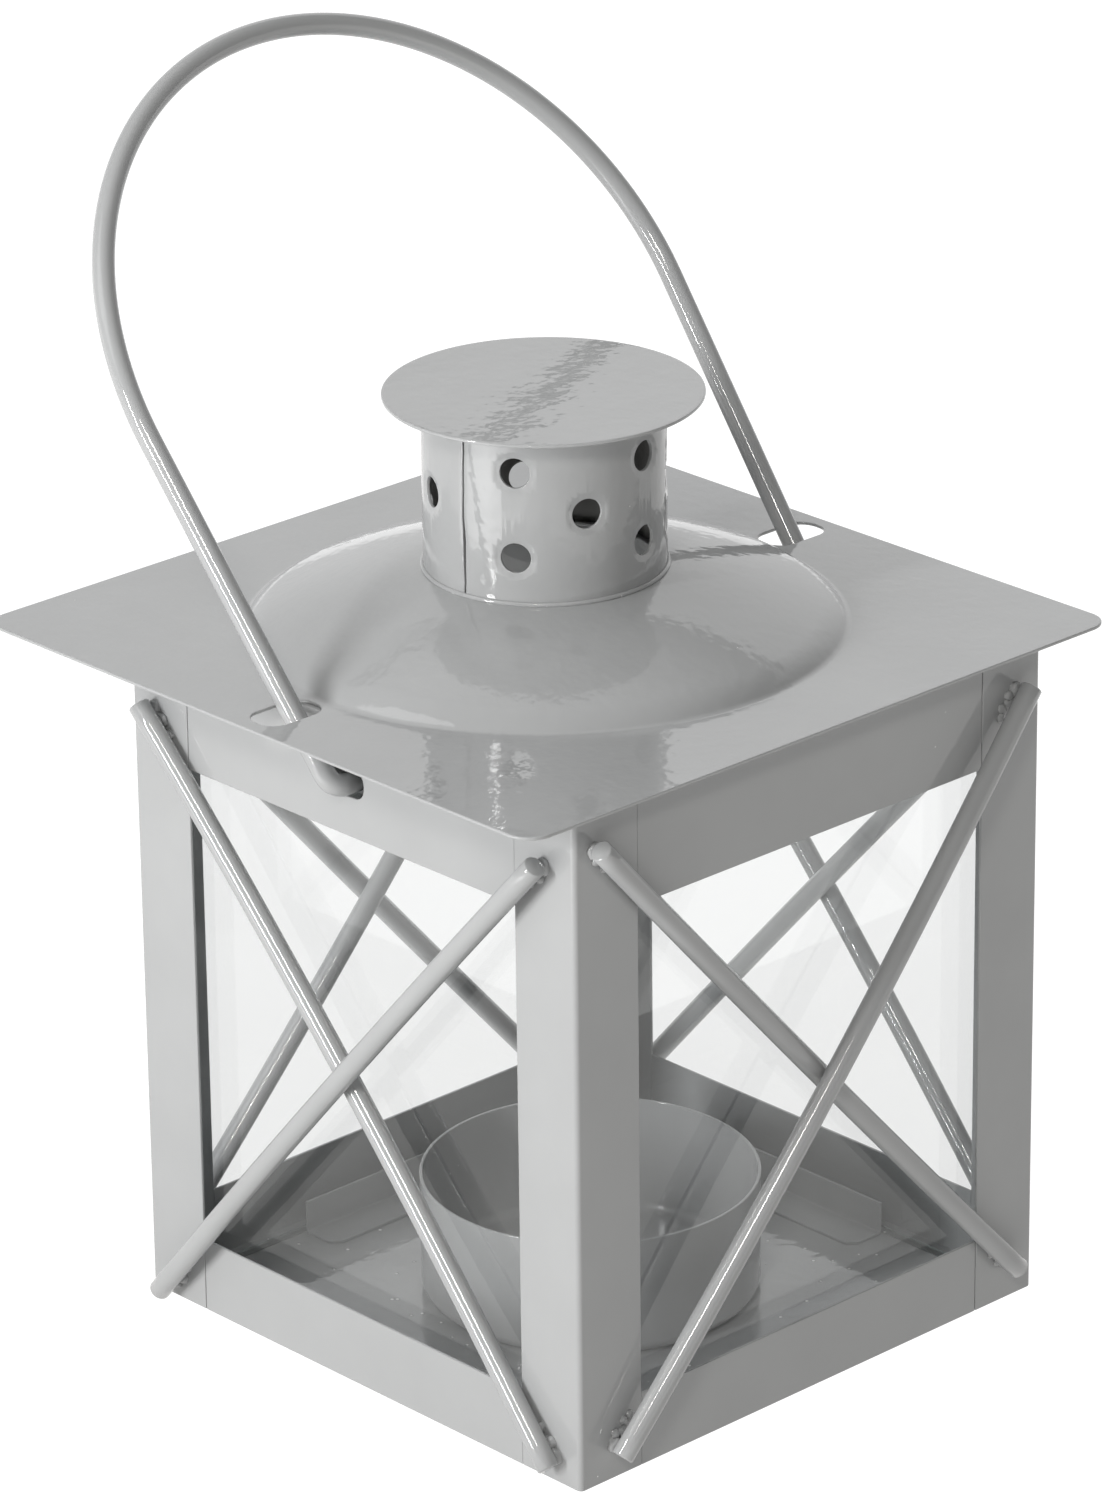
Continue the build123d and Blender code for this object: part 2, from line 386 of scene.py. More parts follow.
@dataclass(frozen=True)
class GroundEdge:
    """The cut and ground edge of a pane, darker and a little green."""

    name: str
    colour: tuple[float, float, float] = (0.30, 0.36, 0.35)
    grain_size: float = 0.0006
    roughness: float = 0.22
    roughness_change: float = 0.2
    cover: float = 0.34
    cover_change: float = 0.16

    def material(self) -> bpy.types.Material:
        """Makes the material of a pane's edges.

        Returns:
            The material.
        """
        made = bpy.data.materials.new(self.name)
        made.use_nodes = True
        bench = NodeBench(made.node_tree)
        coords = bench.node("ShaderNodeTexCoord").outputs["Object"]
        grain = bench.noise(coords, self.grain_size, 2.0, Vector((0.2, 0.1, 0.3)))
        surface = bench.node(
            "ShaderNodeBsdfPrincipled",
            {},
            {
                "Base Color": (*self.colour, 1.0),
                "Roughness": grain * self.roughness_change + self.roughness,
                "Alpha": grain * self.cover_change + self.cover,
            },
        )
        bench.node("ShaderNodeOutputMaterial", {}, {"Surface": surface.outputs[0]})
        return made


@dataclass(frozen=True)
class Finishes:
    """The materials of the lantern, made once and shared by its pieces."""

    body: bpy.types.Material
    lid: bpy.types.Material
    cap: bpy.types.Material
    collar_inside: bpy.types.Material
    wire: bpy.types.Material
    cup: bpy.types.Material
    floor: bpy.types.Material
    glass: bpy.types.Material
    glass_edge: bpy.types.Material

    @classmethod
    def mixed(cls) -> "Finishes":
        """Mixes the paints and the glass.

        Returns:
            The finishes.
        """
        return cls(
            body=Paint("housing_paint", wave_depth=0.00003).material(),
            lid=Paint("roof_paint", peel_depth=0.00006).material(),
            cap=Paint(
                "cap_paint",
                roughness=0.035,
                peel_depth=0.00006,
                peel_size=0.0018,
                wave_depth=0.0001,
                wave_size=0.006,
            ).material(),
            # Painted shade: the collar's inner faces get a near-black paint that stands in for the shade
            # inside the chimney.
            collar_inside=Paint("collar_inside", colour=(0.13, 0.13, 0.125), roughness=0.4).material(),
            wire=Paint("rod_paint", peel_depth=0.000012, wave_depth=0.00001).material(),
            cup=Paint("cup_paint", peel_depth=0.000012).material(),
            floor=Paint(
                "tray_paint", peel_depth=0.00006, peel_size=0.0024, speck_share=0.30, speck_radius=0.15
            ).material(),
            glass=PaneGlass("clear_glass").material(),
            glass_edge=GroundEdge("ground_glass_edge").material(),
        )


class Workpiece:
    """A piece of sheet, wire or glass while it is shaped, in millimetres."""

    def __init__(self) -> None:
        """Starts with nothing on the bench."""
        self.bm = bmesh.new()

    def corner(self, place: Sequence[float]) -> BMVert:
        """Adds one point."""
        return self.bm.verts.new(place)

    def edge(self, start: Sequence[float], end: Sequence[float]) -> list[BMVert | BMEdge]:
        """Adds one straight edge.

        Args:
            start: Its first point.
            end: Its second point.

        Returns:
            The two points and the edge.
        """
        ends = [self.corner(start), self.corner(end)]
        return [*ends, self.bm.edges.new(ends)]

    def circle(self, radius: float, steps: int, place: Matrix) -> list[BMEdge]:
        """Adds a circle of edges.

        Args:
            radius: Its radius.
            steps: How many edges it has.
            place: Where it goes, from the XY plane.

        Returns:
            The edges.
        """
        made = bmesh.ops.create_circle(self.bm, cap_ends=False, radius=radius, segments=steps, matrix=place)
        return list({edge for vert in made["verts"] for edge in vert.link_edges})

    def rounded(self, width: float, height: float, corner: float, steps: int, place: Matrix) -> BMFace:
        """Adds a rectangle with round corners.

        Args:
            width: Its size along X.
            height: Its size along Y.
            corner: The corner radius.
            steps: How many edges each corner has.
            place: Where it goes, from the XY plane.

        Returns:
            The face.
        """
        others = set(self.bm.faces)
        stretch = Matrix.Diagonal((width, height, 1.0, 1.0))
        made = bmesh.ops.create_grid(self.bm, x_segments=1, y_segments=1, size=0.5, matrix=stretch)
        if corner > 0.0:
            self.clip_corners(made["verts"], corner, steps)
        (face,) = set(self.bm.faces) - others
        bmesh.ops.transform(self.bm, matrix=place, verts=face.verts)
        return face

    def outline(self, width: float, height: float, corner: float, steps: int, place: Matrix) -> list[BMEdge]:
        """Adds only the outline of a rectangle with round corners.

        Args:
            width: Its size along X.
            height: Its size along Y.
            corner: The corner radius.
            steps: How many edges each corner has.
            place: Where it goes, from the XY plane.

        Returns:
            The edges.
        """
        face = self.rounded(width, height, corner, steps, place)
        edges = list(face.edges)
        bmesh.ops.delete(self.bm, geom=[face], context="FACES_ONLY")
        return edges

    def bridge(self, first: list[BMEdge], second: list[BMEdge]) -> None:
        """Joins two loops of as many edges with a ring of faces."""
        bmesh.ops.bridge_loops(self.bm, edges=first + second)

    def fill(self, edges: list[BMEdge], normal: Vector) -> list[BMFace]:
        """Fills the flat area between loops, holes left open.

        Args:
            edges: The edges of the loops.
            normal: The direction that the area faces.

        Returns:
            The new faces.
        """
        made = bmesh.ops.triangle_fill(
            self.bm, use_beauty=True, use_dissolve=False, edges=edges, normal=normal
        )
        return [part for part in made["geom"] if isinstance(part, BMFace)]

    def extrude_flat(self, depth: Vector) -> None:
        """Gives a flat sheet its thickness.

        Args:
            depth: The way from the first face to the second.
        """
        made = bmesh.ops.extrude_face_region(self.bm, geom=list(self.bm.faces), use_keep_orig=True)
        verts = [part for part in made["geom"] if isinstance(part, BMVert)]
        bmesh.ops.translate(self.bm, verts=verts, vec=depth)
        bmesh.ops.recalc_face_normals(self.bm, faces=self.bm.faces)

    def lathe(self, steps: int, middle: Sequence[float] = (0.0, 0.0, 0.0)) -> None:
        """Spins everything on the bench once round the upright axis.

        Args:
            steps: How many slices the circle has.
            middle: A point of the axis.
        """
        bmesh.ops.spin(
            self.bm,
            geom=[*self.bm.verts, *self.bm.edges],
            cent=middle,
            axis=UP,
            angle=2 * pi,
            steps=steps,
            use_merge=True,
            use_duplicate=False,
        )
        bmesh.ops.remove_doubles(self.bm, verts=self.bm.verts, dist=0.0001)

    def clip_corners(self, corners: Sequence[BMVert], size: float, steps: int) -> None:
        """Cuts or rounds corners of a flat face.

        Args:
            corners: The corners' points.
            size: How far along each side it starts.
            steps: How many edges each gets.
        """
        bmesh.ops.bevel(
            self.bm,
            geom=corners,
            offset=size,
            offset_type="OFFSET",
            segments=steps,
            profile=0.5,
            affect="VERTICES",
            material=-1,
        )

    def soften(self, width: float, steps: int, sharper_than: float = 50.0) -> None:
        """Rounds the edges between faces that meet at more than an angle.

        Args:
            width: The width of the rounding.
            steps: How many faces it has across.
            sharper_than: The angle in degrees.
        """
        limit = radians(sharper_than)
        edges = [e for e in self.bm.edges if e.is_manifold and e.calc_face_angle(0.0) > limit]
        bmesh.ops.bevel(
            self.bm,
            geom=edges,
            offset=width,
            offset_type="OFFSET",
            segments=steps,
            profile=0.5,
            affect="EDGES",
            clamp_overlap=True,
            material=-1,
        )

    def face_towards(self, direction: Vector) -> None:
        """Turns every face of a single sheet so that the outermost one faces a direction.

        Args:
            direction: The direction, as a unit vector.
        """
        bmesh.ops.recalc_face_normals(self.bm, faces=self.bm.faces)
        outermost = max(
            (f for f in self.bm.faces if abs(f.normal.dot(direction)) > 0.7),
            key=lambda f: f.calc_center_median().dot(direction),
        )
        if outermost.normal.dot(direction) < 0.0:
            bmesh.ops.reverse_faces(self.bm, faces=self.bm.faces)

    def move_each(self, change: Callable[[Vector], Vector]) -> None:
        """Moves every point to where a function sends it."""
        for vert in self.bm.verts:
            vert.co = change(vert.co)

    def turned(self, place: Matrix) -> None:
        """Turns and moves the whole piece."""
        bmesh.ops.transform(self.bm, matrix=place, verts=self.bm.verts)

    def finished(
        self,
        name: str,
        material: bpy.types.Material,
        body: Body,
        replaces: Iterable[str] = (),
        thickness: float = 0.0,
        rounding: float = 0.0,
        rounding_steps: int = 2,
    ) -> bpy.types.Object:
        """Takes the piece off the bench and puts it on the lantern.

        Args:
            name: The piece's name.
            material: Its finish.
            body: The body that it rides on.
            replaces: The CAD nodes that it stands for.
            thickness: The thickness that a single sheet gets, away from where it faces.
            rounding: The width by which its sharp edges are then rounded.
            rounding_steps: How many faces that rounding has across.

        Returns:
            The piece's object.
        """
        bmesh.ops.scale(self.bm, vec=(MM, MM, MM), verts=self.bm.verts)
        for face in self.bm.faces:
            face.smooth = True
        mesh = bpy.data.meshes.new(name)
        self.bm.to_mesh(mesh)
        self.bm.free()
        piece = bpy.data.objects.new(name, mesh)
        bpy.context.scene.collection.objects.link(piece)
        mesh.materials.append(material)
        if thickness:
            wall = piece.modifiers.new("wall", "SOLIDIFY")
            wall.thickness = thickness * MM
            wall.offset = -1.0
            wall.use_even_offset = True
        if rounding:
            soft = piece.modifiers.new("rounding", "BEVEL")
            soft.width = rounding * MM
            soft.segments = rounding_steps
            soft.limit_method = "ANGLE"
            soft.angle_limit = radians(50.0)
            level = piece.modifiers.new("level", "WEIGHTED_NORMAL")
            level.keep_sharp = True
        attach(piece, body.value)
        if replaces:
            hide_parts(*replaces)
        return piece


class Bender:
    """Carries the end of a line, a strip or a wire forward, straight or round a bend."""

    def __init__(
        self, work: Workpiece, section: Sequence[Any], at: Sequence[float], heading: Vector, axis: Vector
    ) -> None:
        """Takes hold of an end.

        Args:
            work: The piece on the bench.
            section: The end's points and edges.
            at: The point that the bends are measured from.
            heading: The direction in which it goes.
            axis: The direction of the bends' axis.
        """
        self.work = work
        self.section = list(section)
        self.at = Vector(at)
        self.heading = heading.normalized()
        self.axis = axis.normalized()

    def _spin(self, centre: Vector, move: Vector, angle: float, steps: int) -> None:
        """Sweeps the end and takes hold of the new one.

        Args:
            centre: A point of the bend's axis.
            move: How far the end moves straight on.
            angle: How far it turns, in radians.
            steps: In how many steps.
        """
        made = bmesh.ops.spin(
            self.work.bm,
            geom=self.section,
            cent=centre,
            axis=self.axis,
            dvec=move,
            angle=angle,
            steps=steps,
            use_merge=False,
            use_duplicate=False,
        )
        self.section = made["geom_last"]

    def run(self, length: float, steps: int = 1) -> "Bender":
        """Goes straight on.

        Args:
            length: How far.
            steps: In how many steps.

        Returns:
            The bender itself.
        """
        self._spin(self.at, self.heading * (length / steps), 0.0, steps)
        self.at = self.at + self.heading * length
        return self

    def bend(self, radius: float, angle: float, steps: int) -> "Bender":
        """Goes round a bend.

        Args:
            radius: Its radius at the point that bends are measured from.
            angle: How far it turns in degrees, to the left of its heading round the axis where positive.
            steps: In how many steps.

        Returns:
            The bender itself.
        """
        aside = self.axis.cross(self.heading) * (1.0 if angle > 0.0 else -1.0)
        centre = self.at + aside * radius
        self._spin(centre, Vector(), radians(angle), steps)
        turn = Matrix.Rotation(radians(angle), 3, self.axis)
        self.at = centre + turn @ (self.at - centre)
        self.heading = turn @ self.heading
        return self


@dataclass
class Wire:
    """Round wire, cut off at both ends."""

    diameter: float
    steps: int = 24
    end_rounding: float = 0.22

    def start(self, work: Workpiece, at: Sequence[float], heading: Vector, axis: Vector) -> Bender:
        """Starts a wire with its first cut end.

        Args:
            work: The piece on the bench.
            at: Where it starts.
            heading: The direction in which it goes.
            axis: The axis of its bends.

        Returns:
            A bender that holds the other end.
        """
        radius = self.diameter / 2
        place = Matrix.Translation(Vector(at)) @ heading.to_track_quat("Z", "Y").to_matrix().to_4x4()
        edges = work.circle(radius - self.end_rounding, self.steps, place)
        bmesh.ops.edgeloop_fill(work.bm, edges=edges)
        verts = list({vert for edge in edges for vert in edge.verts})
        bender = Bender(work, [*verts, *edges], at, heading, axis)
        self._flare(bender, radius / (radius - self.end_rounding), self.end_rounding)
        return bender

    def stop(self, bender: Bender) -> None:
        """Cuts the wire off where the bender is.

        Args:
            bender: The bender that holds the wire's end.
        """
        radius = self.diameter / 2
        self._flare(bender, (radius - self.end_rounding) / radius, self.end_rounding)
        edges = [part for part in bender.section if isinstance(part, BMEdge)]
        bmesh.ops.edgeloop_fill(bender.work.bm, edges=edges)
        bmesh.ops.recalc_face_normals(bender.work.bm, faces=bender.work.bm.faces)

    @staticmethod
    def _flare(bender: Bender, growth: float, length: float) -> None:
        """Goes on a little way while the wire grows or shrinks.

        Args:
            bender: The bender that holds the wire's end.
            growth: The wire's new radius as a share of the old one.
            length: How far it goes.
        """
        bender.run(length)
        centre = Matrix.Translation(-bender.at)
        verts = [part for part in bender.section if isinstance(part, BMVert)]
        bmesh.ops.scale(bender.work.bm, vec=(growth,) * 3, space=centre, verts=verts)


@dataclass
class Housing:
    """The body's sheet metal: corner posts and rails."""

    top_rail_height: float = 17.4
    bottom_rail_height: float = 11.8
    rail_seam: float = 0.15
    lip_foot: float = 91.0
    hole_length: float = 7.2
    hole_height: float = 4.4
    hole_foot: float = 95.15
    hole_corner: float = 1.9
    hole_rim: float = 0.35
    edge_rounding: float = 0.14

    def build(self, finishes: Finishes) -> list[bpy.types.Object]:
        """Makes the posts and rails of all four sides.

        Args:
            finishes: The lantern's materials.

        Returns:
            The pieces.
        """
        made = []
        for side in Side:
            made.append(self._post(side, finishes))
            made.append(self._top_rail(side, finishes))
            made.append(self._bottom_rail(side, finishes))
        return made

    def _post(self, side: Side, finishes: Finishes) -> bpy.types.Object:
        """Folds the post at the right end of a side.

        Args:
            side: The side.
            finishes: The lantern's materials.

        Returns:
            The piece.
        """
        work = Workpiece()
        start = (WINDOW_HALF, -BODY_HALF, 0.0)
        section = work.edge(start, (WINDOW_HALF, -BODY_HALF, BODY_HEIGHT))
        wing = POST_LEG - FOLD_RADIUS
        Bender(work, section, start, X_AXIS, UP).run(wing).bend(FOLD_RADIUS, 90.0, 6).run(wing)
        name = f"post_{side.post_name.removeprefix('corner_post_')}"
        return self._fitted(work, side, name, side.post_name, finishes)

    def _fitted(
        self, work: Workpiece, side: Side, name: str, node: str, finishes: Finishes
    ) -> bpy.types.Object:
        """Turns a piece of sheet from the front to its own side and puts it on the lantern.

        Args:
            work: The piece on the bench.
            side: Its side.
            name: Its name.
            node: The CAD node that it stands for.
            finishes: The lantern's materials.

        Returns:
            The piece.
        """
        work.face_towards(FRONT)
        work.turned(side.turn)
        return work.finished(
            name, finishes.body, Body.HOUSING, (node,), SHEET, self.edge_rounding
        )

    def _rail_ends(self, side: Side) -> tuple[float, float]:
        """Finds how far a side's rails reach. One end is short of its post by the seam.

        Args:
            side: The side.

        Returns:
            The place of the left and of the right end.
        """
        left = -WINDOW_HALF + (self.rail_seam if side.seam_end < 0 else 0.0)
        right = WINDOW_HALF - (self.rail_seam if side.seam_end > 0 else 0.0)
        return left, right

    def _top_rail(self, side: Side, finishes: Finishes) -> bpy.types.Object:
        """Folds a top rail: web, flange under the lid, and the lip behind the pane.

        Args:
            side: Its side.
            finishes: The lantern's materials.

        Returns:
            The piece.
        """
        left, right = self._rail_ends(side)
        foot = BODY_HEIGHT - self.top_rail_height
        work = Workpiece()
        start = (left, -BODY_HALF, foot)
        section = work.edge(start, (right, -BODY_HALF, foot))
        flange = BODY_HALF - (HOLDER_FACE - SHEET) - 2 * FOLD_RADIUS
        bender = Bender(work, section, start, UP, -X_AXIS)
        bender.run(self.top_rail_height - FOLD_RADIUS)
        web = work.bm.faces[:][0]
        bender.bend(FOLD_RADIUS, 90.0, 5).run(flange).bend(FOLD_RADIUS, 90.0, 5)
        bender.run(BODY_HEIGHT - FOLD_RADIUS - self.lip_foot)
        if side in (Side.LEFT, Side.RIGHT):
            self._punch_bail_hole(work, web)
        return self._fitted(work, side, f"upper_rail_{side.label}", f"top_rail_{side.label}", finishes)

    def _punch_bail_hole(self, work: Workpiece, web: BMFace) -> None:
        """Punches the hole for the bail's end through a rail's web.

        Args:
            work: The rail on the bench.
            web: The web's face.
        """
        upright = Matrix.Rotation(pi / 2, 4, "X")
        place = Matrix.Translation((0.0, -BODY_HALF, self.hole_foot + self.hole_height / 2)) @ upright
        border = list(web.edges)
        bmesh.ops.delete(work.bm, geom=[web], context="FACES_ONLY")
        rim = self.hole_rim
        hole = work.outline(self.hole_length, self.hole_height, self.hole_corner, 8, place)
        around = work.outline(
            self.hole_length + 2 * rim, self.hole_height + 2 * rim, self.hole_corner + rim, 8, place
        )
        work.bridge(hole, around)
        work.fill(border + around, FRONT)

    def _bottom_rail(self, side: Side, finishes: Finishes) -> bpy.types.Object:
        """Cuts a bottom rail.

        Args:
            side: Its side.
            finishes: The lantern's materials.

        Returns:
            The piece.
        """
        left, right = self._rail_ends(side)
        work = Workpiece()
        section = work.edge((left, -BODY_HALF, 0.0), (right, -BODY_HALF, 0.0))
        Bender(work, section, (left, -BODY_HALF, 0.0), UP, X_AXIS).run(self.bottom_rail_height)
        return self._fitted(work, side, f"lower_rail_{side.label}", f"bottom_rail_{side.label}", finishes)


@dataclass(frozen=True)
class RodEnds:
    """Where a rod's ends lie: in from the corner and down from the top edge, then in and up at its foot."""

    top_inset: float
    top_drop: float
    foot_inset: float
    foot_rise: float

    def points(self, direction: int, out: float) -> tuple[Vector, Vector]:
        """Places both ends at the front side.

        Args:
            direction: 1 for a rod that goes down to the right, -1 for one that goes down to the left.
            out: How far the ends lie from the lantern's middle.

        Returns:
            The middle of the upper and of the lower end.
        """
        top = Vector((direction * (self.top_inset - BODY_HALF), -out, BODY_HEIGHT - self.top_drop))
        foot = Vector((direction * (BODY_HALF - self.foot_inset), -out, self.foot_rise))
        return top, foot


@dataclass
class Braces:
    """The crossed rods of the four sides, cut and welded by hand, so that no two lie quite alike."""

    under_ends: dict[Side, RodEnds] = field(
        default_factory=lambda: {
            Side.LEFT: RodEnds(4.2, 8.6, 4.2, 3.2),
            Side.FRONT: RodEnds(2.9, 5.5, 5.3, 5.5),
            Side.RIGHT: RodEnds(4.7, 8.0, 4.7, 3.8),
            Side.BACK: RodEnds(4.7, 9.3, 4.7, 3.1),
        }
    )
    over_ends: dict[Side, RodEnds] = field(
        default_factory=lambda: {
            Side.LEFT: RodEnds(5.2, 8.5, 4.6, 1.4),
            Side.FRONT: RodEnds(4.6, 5.7, 5.8, 4.6),
            Side.RIGHT: RodEnds(4.7, 9.6, 4.7, 1.6),
            Side.BACK: RodEnds(4.7, 6.5, 4.7, 2.4),
        }
    )
    under_end_gap: float = 0.75
    over_end_gap: float = 0.95
    under_bow: float = 1.5
    crossing_gap: float = 0.05
    wire: Wire = field(default_factory=lambda: Wire(BRACE_DIAMETER, 28, 0.2))
    beads: tuple[tuple[float, float, float], ...] = (
        (1.4, 0.1, 1.25), (2.6, 0.9, 0.8), (3.4, -0.4, 1.1), (4.9, 0.8, 0.7), (6.0, -0.1, 0.8)
    )
    bead_out: float = 0.1
    bead_flatness: float = 0.75

    def build(self, finishes: Finishes) -> list[bpy.types.Object]:
        """Makes both rods of each side and their welds.

        Args:
            finishes: The lantern's materials.

        Returns:
            The pieces.
        """
        under_out = BODY_HALF + BRACE_DIAMETER / 2 + self.under_end_gap
        over_out = BODY_HALF + BRACE_DIAMETER / 2 + self.over_end_gap
        over_middle = under_out - self.under_bow + BRACE_DIAMETER + self.crossing_gap
        made = []
        for side in Side:
            under = self.under_ends[side].points(1, under_out)
            over = self.over_ends[side].points(-1, over_out)
            made.append(self._rod("under", side, under, self.under_bow, finishes))
            made.append(self._rod("over", side, over, over_out - over_middle, finishes))
            made.append(self._welds(side, [under, over], finishes))
        return made

    def _rod(
        self, which: str, side: Side, ends: tuple[Vector, Vector], inward: float, finishes: Finishes
    ) -> bpy.types.Object:
        """Bends one rod.

        Args:
            which: Whether it is the under or the over rod.
            side: Its side.
            ends: The middle of each of its ends, at the front side.
            inward: How far its middle lies nearer the window than its ends.
            finishes: The lantern's materials.

        Returns:
            The piece.
        """
        start, stop = ends
        chord = stop - start
        span = chord.length
        radius = (span * span / 4 + inward * inward) / (2 * abs(inward))
        half_turn = asin(span / 2 / radius)
        inside = Vector((0.0, 1.0, 0.0)) * (1.0 if inward > 0.0 else -1.0)
        axis = chord.normalized().cross(-inside)
        heading = Matrix.Rotation(-half_turn, 3, axis) @ chord.normalized()
        work = Workpiece()
        trim = self.wire.end_rounding
        bender = self.wire.start(work, start, heading, axis)
        bender.bend(radius, degrees(2 * half_turn - 2 * trim / radius), 36)
        self.wire.stop(bender)
        work.turned(side.turn)
        name, node = f"rod_{which}_{side.label}", f"brace_{which}_{side.label}"
        return work.finished(name, finishes.wire, Body.HOUSING, (node,))

    def _welds(
        self, side: Side, rods: Sequence[tuple[Vector, Vector]], finishes: Finishes
    ) -> bpy.types.Object:
        """Lays a run of small weld beads between each rod end of a side and its post.

        Args:
            side: The side.
            rods: The middle of both ends of each rod, at the front side.
            finishes: The lantern's materials.

        Returns:
            The piece that holds them all.
        """
        work = Workpiece()
        for number, (top, foot) in enumerate(rods):
            down = (foot - top).normalized()
            for turn, (end, inwards) in enumerate(((top, down), (foot, -down))):
                across = down.cross(FRONT)
                for step, (along, aside, size) in enumerate(self.beads):
                    place = Vector((end.x, -BODY_HALF - self.bead_out, end.z))
                    place += inwards * along + across * aside
                    seed = 40 * number + 20 * turn + step
                    add_bead(work, place, FRONT, size, self.bead_flatness, seed)
        work.turned(side.turn)
        return work.finished(f"rod_welds_{side.label}", finishes.wire, Body.HOUSING)


def add_bead(
    work: Workpiece, place: Vector, outward: Vector, size: float, flatness: float, seed: int
) -> None:
    """Adds an uneven bead of weld that sits on a surface.

    Args:
        work: The piece on the bench.
        place: The point of the surface.
        outward: The way that the surface faces.
        size: The bead's radius.
        flatness: Its height as a share of its radius.
        seed: A number that gives it a shape of its own.
    """
    unevenness, lump_share = 0.35, 1.1
    made = bmesh.ops.create_icosphere(work.bm, subdivisions=3, radius=size)
    turn = outward.to_track_quat("Z", "Y").to_matrix().to_4x4()
    for vert in made["verts"]:
        offset = Vector((seed * 1.7, seed * 0.9, seed * 2.3))
        vert.co *= 1.0 + unevenness * noise.noise(vert.co * (lump_share / size) + offset)
        vert.co.z *= flatness
    bmesh.ops.transform(work.bm, matrix=Matrix.Translation(place) @ turn, verts=made["verts"])


@dataclass
class Glazing:
    """The four panes and the clips that hold their lower edges."""

    pane_front: float = 45.3
    pane_thickness: float = 1.8
    corner_gap: float = 1.0
    pane_top: float = 94.0
    arris: float = 0.22
    chip_depth: float = 0.6
    chip_steps: int = 60
    clip_length: float = 40.0
    clip_height: float = 5.5
    clip_foot: float = 6.7
    clip_chamfer: float = 1.6
    clip_rounding: float = 0.12

    def build(self, finishes: Finishes) -> list[bpy.types.Object]:
        """Makes the pane and the clip of each side.

        Args:
            finishes: The lantern's materials.

        Returns:
            The pieces.
        """
        made = []
        for side in Side:
            made.append(self._pane(side, finishes))
            made.append(self._clip(side, finishes))
        return made

    def _pane(self, side: Side, finishes: Finishes) -> bpy.types.Object:
        """Cuts a pane and grinds its edges.

        Args:
            side: Its side.
            finishes: The lantern's materials.

        Returns:
            The piece.
        """
        back = self.pane_front - self.pane_thickness
        width = 2 * (back - self.corner_gap)
        height = self.pane_top - SHEET
        work = Workpiece()
        middle = Vector((0.0, -back - self.pane_thickness / 2, SHEET + height / 2))
        place = Matrix.Translation(middle) @ Matrix.Diagonal((width, self.pane_thickness, height, 1.0))
        bmesh.ops.create_cube(work.bm, size=1.0, matrix=place)
        upright = [e for e in work.bm.edges if abs(e.verts[0].co.z - e.verts[1].co.z) > 1.0]
        bmesh.ops.subdivide_edges(work.bm, edges=upright, cuts=self.chip_steps)
        work.move_each(self._chipped)
        work.soften(self.arris, 1)
        for face in work.bm.faces:
            face.material_index = 0 if abs(face.normal.y) > 0.99 else 1
        work.turned(side.turn)
        pane = work.finished(
            f"pane_{side.label}", finishes.glass, Body.HOUSING, (f"glass_pane_{side.label}",)
        )
        pane.data.materials.append(finishes.glass_edge)
        for polygon in pane.data.polygons:
            polygon.use_smooth = False
        return pane

    def _chipped(self, place: Vector) -> Vector:
        """Where a point of a pane's side edge lies after the glass was cut, a little unevenly.

        Args:
            place: The point on a straight edge.

        Returns:
            The point on the uneven one.
        """
        side = 1.0 if place.x > 0.0 else -1.0
        large = abs(noise.noise(Vector((3.7 * side, 0.0, place.z * 0.21))))
        small = abs(noise.noise(Vector((9.1 * side, 0.0, place.z * 0.63))))
        bite = large + 0.5 * small
        return Vector((place.x - side * self.chip_depth * bite, place.y, place.z))

    def _clip(self, side: Side, finishes: Finishes) -> bpy.types.Object:
        """Folds a clip, with its foot's corners cut off.

        Args:
            side: Its side.
            finishes: The lantern's materials.

        Returns:
            The piece.
        """
        work = Workpiece()
        half = self.clip_length / 2
        top = SHEET + self.clip_height
        start = (-half, -HOLDER_FACE, top)
        section = work.edge(start, (half, -HOLDER_FACE, top))
        bender = Bender(work, section, start, -UP, X_AXIS)
        bender.run(self.clip_height - FOLD_RADIUS).bend(FOLD_RADIUS, 90.0, 5)
        bender.run(self.clip_foot - FOLD_RADIUS)
        feet = [part for part in bender.section if isinstance(part, BMVert)]
        work.clip_corners(feet, self.clip_chamfer, 1)
        work.face_towards(FRONT)
        work.turned(side.turn)
        return work.finished(
            f"clip_{side.label}",
            finishes.body,
            Body.HOUSING,
            (f"glass_clip_{side.label}",),
            SHEET,
            self.clip_rounding,
        )


@dataclass
class TealightCup:
    """The drawn cup in the middle of the floor."""

    radius: float = 26.0
    height: float = 19.2
    corner: float = 2.0
    rim_rounding: float = 0.16
    slices: int = 128

    def build(self, finishes: Finishes) -> list[bpy.types.Object]:
        """Draws the cup.

        Args:
            finishes: The lantern's materials.

        Returns:
            The piece.
        """
        work = Workpiece()
        start = work.corner((0.0, 0.0, SHEET))
        bender = Bender(work, [start], start.co, X_AXIS, FRONT)
        bender.run(self.radius - self.corner).bend(self.corner, 90.0, 8).run(self.height - self.corner)
        work.lathe(self.slices)
        work.face_towards(X_AXIS)
        return [
            work.finished(
                "cup",
                finishes.cup,
                Body.HOUSING,
                ("tealight_cup",),
                SHEET,
                self.rim_rounding,
                3,
            )
        ]


